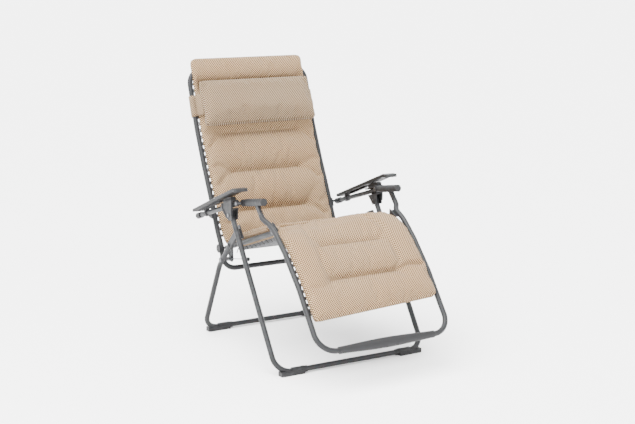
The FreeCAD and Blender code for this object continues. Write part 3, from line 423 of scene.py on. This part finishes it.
class Cushion:
    """Closed crowned pad on a (y, z) line with sewn channels across its face.

    low and high give the back and face heights off the line, at (x, reach).
    Each seam is (reach, half length, depth); a crease is a soft dip along a list of
    (x, reach) points, with its depth and width. start is the share of the face height
    that the skin has before it swells, and cap is how far it may swell.
    """

    def __init__(self, name, line, half, low, high, seams, creases=(), corner=0.03,
                 rim=0.020, side=1, cap=0.016, face=MESH, rear=SLING, pin_back=True,
                 start=0.62):
        self.samples, self.length = resample(smooth_line(line), GRID)
        self.rows = len(self.samples)
        self.half = half
        self.cols = round(2 * half(self.length) / GRID) + 1
        self.side, self.seams, self.creases = side, seams, creases
        vertices, uvs, self.index = [], [], {}
        for layer in ("face", "rear"):
            for i, (point, along, reach) in enumerate(self.samples):
                end = min(reach, self.length - reach)
                half_row = half(reach)
                if end < corner:
                    half_row += math.sqrt(corner ** 2 - (corner - end) ** 2) - corner
                for j in range(self.cols):
                    x = half_row * (2 * j / (self.cols - 1) - 1)
                    on_rim = i in (0, self.rows - 1) or j in (0, self.cols - 1)
                    if on_rim and layer == "rear":
                        self.index[layer, i, j] = self.index["face", i, j]
                        continue
                    edge = min(half_row - abs(x), end) / rim
                    dome = math.sqrt(max(0.0, 1 - (1 - min(1.0, edge)) ** 2))
                    bottom, top = low(x, reach), high(x, reach)
                    middle = (top + bottom) / 2
                    if layer == "face":
                        dip = self.dip(x, reach)
                        height = middle + (top - middle) * dome * (start - dip)
                    else:
                        height = middle + (bottom - middle) * dome
                    normal = Vector((-along.y, along.x)) * side
                    place = point + normal * height
                    self.index[layer, i, j] = len(vertices)
                    vertices.append(at(x, place))
                    uvs.append((x, reach))
        faces, kinds = [], []
        for layer in ("face", "rear"):
            for i in range(self.rows - 1):
                for j in range(self.cols - 1):
                    quad = [self.index[layer, i, j], self.index[layer, i, j + 1],
                            self.index[layer, i + 1, j + 1], self.index[layer, i + 1, j]]
                    if (layer == "rear") == (side > 0):
                        quad.reverse()
                    faces.append(tuple(quad))
                    reach = self.samples[i][2]
                    x = half(reach) * abs((2 * j + 1) / (self.cols - 1) - 1)
                    inner = min(half(reach) - x, reach, self.length - reach) > SLING_INSET
                    kinds.append(1 if layer == "rear" and inner else 0)
        self.obj = new_object(name, vertices, faces, [face, rear])
        for polygon, kind in zip(self.obj.data.polygons, kinds):
            polygon.material_index = kind
        paint_uv(self.obj, uvs)
        pinned = [self.index["face", i, j] for i in range(self.rows) for j in range(self.cols)
                  if i in (0, self.rows - 1) or j in (0, self.cols - 1)
                  or self.near_seam(i, j) < GRID * 0.55]
        if pin_back:
            pinned += [n for (layer, i, j), n in self.index.items() if layer == "rear"]
        inflate(self.obj, sorted(set(pinned)), cap)
        self.groove()

    def x_of(self, i, j):
        """Where column j of row i lies across the pad."""
        return self.half(self.samples[i][2]) * (2 * j / (self.cols - 1) - 1)

    @staticmethod
    def seam_gap(x, reach, seam):
        """Distance from a seam."""
        place, half_length, _ = seam
        return math.hypot(reach - place, max(0.0, abs(x) - half_length))

    @staticmethod
    def crease_gap(x, reach, points):
        """Distances from each run of a crease."""
        here = Vector((x, reach))
        for a, b in zip(points, points[1:]):
            start, span = Vector(a), Vector(b) - Vector(a)
            t = min(1.0, max(0.0, (here - start).dot(span) / span.length_squared))
            yield (start + span * t - here).length

    def near_seam(self, i, j):
        """Distance of a mesh point from the nearest seam."""
        x, reach = self.x_of(i, j), self.samples[i][2]
        return min([self.seam_gap(x, reach, s) for s in self.seams], default=1.0)

    def dip(self, x, reach):
        """Share of the pad's half height lost to seams and creases."""
        lost = 0.0
        for seam in self.seams:
            gap = self.seam_gap(x, reach, seam)
            lost = max(lost, seam[2] * math.exp(-(gap / DIP_SPREAD) ** 2))
        for points, depth, width in self.creases:
            for gap in self.crease_gap(x, reach, points):
                lost = max(lost, depth * math.exp(-(gap / width) ** 2))
        return lost

    def groove(self):
        """Pull the sewn line itself down into a narrow channel, and press creases."""
        for i in range(self.rows):
            point, along, reach = self.samples[i]
            normal = Vector((-along.y, along.x)) * self.side
            inward = Vector((0.0, -normal.x, -normal.y))
            for j in range(1, self.cols - 1):
                x = self.x_of(i, j)
                depth = 0.0
                for seam in self.seams:
                    gap = self.seam_gap(x, reach, seam)
                    depth = max(depth, GROOVE_DEPTH * math.exp(-(gap / GROOVE_WIDTH) ** 2))
                for points, share, width in self.creases:
                    for gap in self.crease_gap(x, reach, points):
                        depth = max(depth, CREASE_DEPTH * share * math.exp(-(gap / width) ** 2))
                self.obj.data.vertices[self.index["face", i, j]].co += inward * depth
        self.obj.data.update()

    def surface(self, x, reach):
        """Point and outward normal of the finished face at a place on the pad."""
        column = (x / self.half(reach) + 1) / 2 * (self.cols - 1)
        row = reach / self.length * (self.rows - 1)
        j = min(self.cols - 2, max(0, int(column)))
        i = min(self.rows - 2, max(0, int(row)))
        u, v = column - j, row - i
        co = [self.obj.data.vertices[self.index["face", i + a, j + b]].co
              for a in (0, 1) for b in (0, 1)]
        point = (co[0] * (1 - u) + co[1] * u) * (1 - v) + (co[2] * (1 - u) + co[3] * u) * v
        normal = (co[1] - co[0]).cross(co[2] - co[0]).normalized()
        return point, -normal if self.side < 0 else normal

    def stitches(self, name, pitch=0.007, length=0.0044, radius=0.0006):
        """Short threads lying along every seam."""
        parts = []
        for place, half_length, _ in self.seams:
            x = -half_length
            while x + length <= half_length:
                path = []
                for k in range(4):
                    here = x + length * k / 3
                    point, normal = self.surface(here, place)
                    proud = 0.0004 if k in (0, 3) else 0.0009
                    path.append(point + normal * proud)
                parts.append(bead(path, radius, 5))
                x += pitch
        return new_object(name, *merge(parts), [THREAD])


HEAD_ALONG = (Vector(BACK_TUBE[-1]) - Vector(BACK_TUBE[-2])).normalized()
HEAD_AHEAD = Vector((-HEAD_ALONG.y, HEAD_ALONG.x))


def head_point(height):
    """(y, z) on the middle line of the upper backrest tubes at a height."""
    low = Vector(BACK_TUBE[-2])
    return low + HEAD_ALONG * ((height - low.y) / HEAD_ALONG.y)


def even(value):
    """A measure that is the same all over the pad."""
    return lambda *place: value


# Backrest pad
BACK_LINE = [(0.2000, 0.378), (0.2180, 0.398), (0.2460, 0.431), (0.297, 0.548),
             (0.352, 0.662), (0.414, 0.807), (0.5065, 1.0775)]
BACK_SHIFT = 0.020               # from the lower end of the line to where the seams count from
back_seams = [(0.119 + BACK_SHIFT, 0.150, 0.72), (0.278 + BACK_SHIFT, 0.155, 0.72),
              (0.437 + BACK_SHIFT, 0.165, 0.72), (0.640 + BACK_SHIFT, 0.222, 0.85)]
back_creases = []
for place, half_length, _ in back_seams[:3]:
    for sign in (-1, 1):
        run = [(sign * half_length, place), (sign * (half_length + 0.03), place - 0.016),
               (sign * (half_length + 0.062), place - 0.052)]
        back_creases.append((run, 0.30, 0.012))
back_pad = Cushion("backrest_pad", BACK_LINE, even(BACK_HALF), even(-0.012), even(0.030),
                   back_seams, back_creases, corner=0.024, rim=0.022)
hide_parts("back_pad")
back_threads = back_pad.stitches("backrest_stitches")

# Seat cushion on its slung cloth
rail = Vector(KNEE_PIVOT) - Vector(BACK_PIVOT)
RAIL_LENGTH = rail.length
rail.normalize()


def seat_point(distance, height):
    """(y, z) along the seat rail from the backrest pivot, above its middle line."""
    return Vector(BACK_PIVOT) + rail * distance + Vector((-rail.y, rail.x)) * -height


SEAT_REACH = 0.346               # length of the cushion


def seat_low(x, reach):
    """Underside: hangs between the rails, lifted where it lies over them."""
    end = smoothstep(0.0, 0.04, reach) * smoothstep(0.0, 0.04, SEAT_REACH - reach)
    return 0.0125 - 0.038 * smoothstep(0.226, 0.195, abs(x)) * end


seat_line = [seat_point(0.022, 0.004), seat_point(0.20, -0.001),
             seat_point(RAIL_LENGTH - 0.056, 0.000)]
seat_seams = [(0.130, 0.150, 0.5), (0.255, 0.150, 0.5)]
seat_pad = Cushion("seat_pad_cushion", seat_line, even(SEAT_HALF), seat_low, even(0.040),
                   seat_seams, corner=0.030, rim=0.016, side=-1, cap=0.012)
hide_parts("seat_pad")
seat_threads = seat_pad.stitches("seat_stitches")

# Leg-rest pad, carried back over the knees to the seat cushion
LEG_LINE = [(-0.106, 0.495), (-0.165, 0.511), (-0.215, 0.504), (-0.262, 0.485),
            (-0.320, 0.447), (-0.418, 0.340), (-0.497, 0.231)]
LEG_SHIFT = 0.068                # from the seat end of the line to where the seams count from
LOWER_SEAM = 0.291 + LEG_SHIFT
leg_seams = [(0.150 + LEG_SHIFT, 0.128, 0.62), (LOWER_SEAM, 0.140, 0.75)]
leg_creases = []
for sign in (-1, 1):
    run = [(sign * 0.140, LOWER_SEAM), (sign * 0.156, 0.255 + LEG_SHIFT),
           (sign * 0.156, 0.110 + LEG_SHIFT), (sign * 0.132, 0.025 + LEG_SHIFT)]
    leg_creases.append((run, 0.30, 0.013))
leg_creases.append(([(0.140, LOWER_SEAM), (0.185, 0.276 + LEG_SHIFT),
                     (0.236, 0.284 + LEG_SHIFT)], 0.40, 0.011))


def leg_half(reach):
    """Half width: narrower between the knee lugs."""
    return KNEE_HALF + (LEG_HALF - KNEE_HALF) * smoothstep(0.074, 0.124, reach)


def knee_share(reach):
    """One where the pad lies on the seat frame, none down the leg rest."""
    return 1.0 - smoothstep(0.114, 0.194, reach)


def leg_low(x, reach):
    """Underside: lifted over the seat rails beside the knees."""
    over_rail = smoothstep(0.215, 0.226, abs(x))
    return -0.012 + knee_share(reach) * (0.002 + 0.012 * over_rail)


def leg_high(x, reach):
    """Face height: thin over the knees with a slow wave, fuller at the lower end."""
    over_knees = knee_share(reach) * (0.010 * math.sin(10.0 * x) - 0.025)
    height = 0.030 + over_knees + 0.007 * smoothstep(0.384, 0.454, reach)
    return max(height, leg_low(x, reach) + 0.006)


leg_pad = Cushion("legrest_pad_cushion", LEG_LINE, leg_half, leg_low, leg_high,
                  leg_seams, leg_creases, corner=0.022, rim=0.026, side=-1)
DRAWN_UP = Vector((0.0, 0.0165, 0.0225))
for vertex in leg_pad.obj.data.vertices:
    towards_left = 0.5 + vertex.co.x / (2 * LEG_HALF)
    vertex.co += DRAWN_UP * (towards_left * smoothstep(0.0, 0.17, 0.40 - vertex.co.z))
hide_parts("legrest_pad")
leg_threads = leg_pad.stitches("legrest_stitches")

# Headrest pillow and its band round both backrest tubes
PILLOW_LOW = 0.033               # its back, in front of the tubes' middle line
PILLOW_MIDDLE = 0.896            # height of its middle above the floor


def pillow_high(x, reach):
    """Face height: full low down, flatter towards the top edge."""
    return PILLOW_LOW + 0.044 - 0.022 * smoothstep(0.05, 0.16, reach)


pillow_line = [head_point(0.809), head_point(PILLOW_MIDDLE), head_point(0.984)]
pillow = Cushion("headrest_pillow_pad", pillow_line, even(PILLOW_HALF), even(PILLOW_LOW),
                 pillow_high, [], corner=0.014, rim=0.019, cap=0.012, face=PILLOW_MESH,
                 rear=PILLOW_MESH, pin_back=False, start=0.85)
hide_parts("headrest_pillow")


def band_outline():
    """Loop of (x, ahead) points hugging the tubes and crossing behind the backrest."""
    loop = []
    hug = TUBE_R + 0.0026
    for sign in (1, -1):
        side = []
        for k in range(15):
            turn = math.radians(118 - 228 * k / 14)
            side.append((sign * (BACK_X + hug * math.cos(turn)), hug * math.sin(turn)))
        front = [(sign * 0.243, 0.046), (sign * 0.2465, 0.040), (sign * 0.251, 0.026)]
        back = [(sign * 0.20, -0.0158), (sign * 0.10, -0.0166)]
        loop.append(front + side + back)
    return loop[0] + [(0.0, -0.0168)] + list(reversed(loop[1]))


def strap_piece(name, outline, centre, width, thick, material):
    """Flat strip following an (x, ahead) outline, as wide as given up the backrest."""
    rows = 9
    vertices, faces, uvs = [], [], []
    count = len(outline)
    for layer in (0, 1):
        reach = 0.0
        for i, (x, ahead) in enumerate(outline):
            prev, nxt = outline[max(i - 1, 0)], outline[min(i + 1, count - 1)]
            run = Vector((nxt[0] - prev[0], nxt[1] - prev[1])).normalized()
            out = Vector((-run.y, run.x)) * thick * layer
            if i:
                reach += math.dist(outline[i - 1], outline[i])
            for k in range(rows):
                t = k / (rows - 1) - 0.5
                ruffle = 0.0006 * math.sin(reach * 160 + t * 5)
                spot = (centre + HEAD_ALONG * (width * t)
                        + HEAD_AHEAD * (ahead + out.y + ruffle))
                vertices.append(at(x + out.x, spot))
                uvs.append((reach, t * width))
    block = count * rows
    for i in range(count - 1):
        for k in range(rows - 1):
            a = i * rows + k
            faces.append((a, a + 1, a + rows + 1, a + rows))
            b = block + a
            faces.append((b, b + rows, b + rows + 1, b + 1))
        for k in (0, rows - 1):
            a = i * rows + k
            faces.append((a, a + rows, block + a + rows, block + a))
    for i in (0, count - 1):
        for k in range(rows - 1):
            a = i * rows + k
            faces.append((a, a + 1, block + a + 1, block + a))
    made = new_object(name, vertices, faces, [material])
    paint_uv(made, uvs)
    face_outward(made)
    return made


band = strap_piece("pillow_strap", band_outline(), head_point(PILLOW_MIDDLE), 0.084, 0.0016,
                   STRAP)
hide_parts("pillow_band")

# ---- lacing ------------------------------------------------------------------------


def round_path(points, per=5):
    """Catmull-Rom curve through 3-D points."""
    out = []
    for i in range(len(points) - 1):
        p0, p1 = points[max(i - 1, 0)], points[i]
        p2, p3 = points[i + 1], points[min(i + 2, len(points) - 1)]
        for k in range(per):
            t = k / per
            out.append(0.5 * ((2 * p1) + (p2 - p0) * t + (2 * p0 - 5 * p1 + 4 * p2 - p3) * t * t
                              + (3 * p1 - p0 - 3 * p2 + p3) * t ** 3))
    out.append(points[-1])
    return out


LACE_PITCH = 0.027
LACE_RADIUS = 0.0024
EYELET_INSET, EYELET_BEHIND = 0.017, -0.0146     # where the cord turns under the pad
ROUND_TUBE, TUBE_BEHIND = 0.001, -0.0132         # where it turns behind the tube
TAB_INSET, TAB_BEHIND = 0.0120, -0.0128
TAB_HALVES = (0.0058, 0.0052, 0.0017)


def lacing(name, line, tube_x, edge_x, start, end, side):
    """Elastic cord zigzagging behind the pad's edge and behind the tube beside it."""
    samples, total = resample(smooth_line(line), LACE_PITCH / 2)
    turns = ((edge_x - EYELET_INSET, EYELET_BEHIND), (tube_x + ROUND_TUBE, TUBE_BEHIND))
    cords, tabs = [], []
    for sign in (1, -1):
        route = []
        for k, (point, along, reach) in enumerate(samples):
            if not start <= reach <= total - end:
                continue
            normal = Vector((-along.y, along.x)) * side
            across, height = turns[k % 2]
            route.append(at(sign * across, point + normal * height))
            if k % 2 == 0:
                axes = (Vector((1, 0, 0)), lift(along).normalized(), lift(normal).normalized())
                centre = at(sign * (edge_x - TAB_INSET), point + normal * TAB_BEHIND)
                tabs.append(box_part(centre, axes, TAB_HALVES))
        cords.append(bead(round_path(route), LACE_RADIUS, 6))
    cord_piece = new_object(name + "_cords", *merge(cords), [ELASTIC])
    tab_piece = new_object(name + "_tabs", *merge(tabs), [DARK], smooth=False)
    face_outward(tab_piece)
    bevel = tab_piece.modifiers.new("Bevel", "BEVEL")
    bevel.width = 0.0009
    bevel.segments = 2
    return cord_piece, tab_piece


back_cords, back_tabs = lacing("backrest_lacing", BACK_TUBE, BACK_X, BACK_HALF, 0.050, 0.045, 1)
leg_cords, leg_tabs = lacing("legrest_lacing", LEG_TUBE, LEGREST_X, LEG_HALF, 0.030, 0.042, -1)
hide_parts("back_lace_left", "back_lace_right")
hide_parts("legrest_lace_left", "legrest_lace_right")

# ---- what rides on what ---------------------------------------------------------------
for piece in (back_pad.obj, back_threads):
    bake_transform(piece)
for piece in (leg_pad.obj, leg_threads):
    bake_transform(piece)
for piece in (pillow.obj, band, back_cords, back_tabs):
    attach(piece, "backrest")
for piece in (seat_pad.obj, seat_threads):
    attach(piece, "seat")
for piece in (leg_cords, leg_tabs):
    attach(piece, "leg_rest")

# ---- floor, light and camera --------------------------------------------------------------
floor_graph = Graph("pale_floor")
floor_shade = floor_graph.ramp(floor_graph.noise(floor_graph.place(), 1.5), 0.3, 0.7, 0.94, 0.95)
floor_tone = floor_graph.node("ShaderNodeCombineColor", {"Red": floor_shade, "Green": floor_shade,
                                                         "Blue": floor_shade})
FLOOR = floor_graph.finish(Base_Color=floor_tone.outputs["Color"], Roughness=0.9)
FLOOR_HALF = 120
floor_corners = [(x * FLOOR_HALF, y * FLOOR_HALF, 0)
                 for x, y in ((-1, -1), (1, -1), (1, 1), (-1, 1))]
floor = new_object("floor", floor_corners, [(0, 1, 2, 3)], [FLOOR], smooth=False)

# The sky is as bright as the floor near the horizon, so no horizon line shows
world = bpy.data.worlds.new("studio")
world.use_nodes = True
sky = world.node_tree
direction = sky.nodes.new("ShaderNodeSeparateXYZ")
sky.links.new(sky.nodes.new("ShaderNodeTexCoord").outputs["Generated"], direction.inputs["Vector"])
fade = sky.nodes.new("ShaderNodeMapRange")
fade.interpolation_type = "SMOOTHSTEP"
sky.links.new(direction.outputs["Z"], fade.inputs["Value"])
for socket, value in (("From Min", 0.20), ("From Max", 0.45), ("To Min", 5.4), ("To Max", 2.1)):
    fade.inputs[socket].default_value = value
sky.nodes["Background"].inputs["Color"].default_value = rgb(1.0, 1.0, 1.0)
sky.links.new(fade.outputs["Result"], sky.nodes["Background"].inputs["Strength"])
bpy.context.scene.world = world


def lamp(name, kind, aim, energy, place=(0, 0, 0), **settings):
    """Light shining from its place towards aim."""
    data = bpy.data.lights.new(name, kind)
    data.energy = energy
    for key, value in settings.items():
        setattr(data, key, value)
    made = bpy.data.objects.new(name, data)
    bpy.context.scene.collection.objects.link(made)
    made.location = place
    made.rotation_euler = (Vector(aim) - Vector(place)).to_track_quat("-Z", "Y").to_euler()


lamp("key", "AREA", (0, 0, 0.5), 150.0, place=(-2.6, -2.2, 3.2), size=2.2)
lamp("overhead", "SUN", (0.36, 0.08, -1.0), 12.0, angle=1.1)

CAMERA_AZIMUTH = -0.5342
CAMERA_ELEVATION = 0.2125
CAMERA_DISTANCE = 4.869
AIM = Vector((0.0, -0.10206 + SHIFT_Y, 0.42485))
back = Vector((math.sin(CAMERA_AZIMUTH) * math.cos(CAMERA_ELEVATION),
               -math.cos(CAMERA_AZIMUTH) * math.cos(CAMERA_ELEVATION),
               math.sin(CAMERA_ELEVATION)))
right = Vector((math.cos(CAMERA_AZIMUTH), math.sin(CAMERA_AZIMUTH), 0.0))
up = back.cross(right)
camera_data = bpy.data.cameras.new("camera")
camera_data.sensor_width = 36.0
camera_data.lens = 72.845
camera_data.shift_x = -0.00525
camera_data.shift_y = 0.0451
camera = bpy.data.objects.new("camera", camera_data)
camera.matrix_world = Matrix.Translation(AIM + back * CAMERA_DISTANCE) @ Matrix(
    (right, up, back)).transposed().to_4x4()
bpy.context.scene.collection.objects.link(camera)
bpy.context.scene.camera = camera
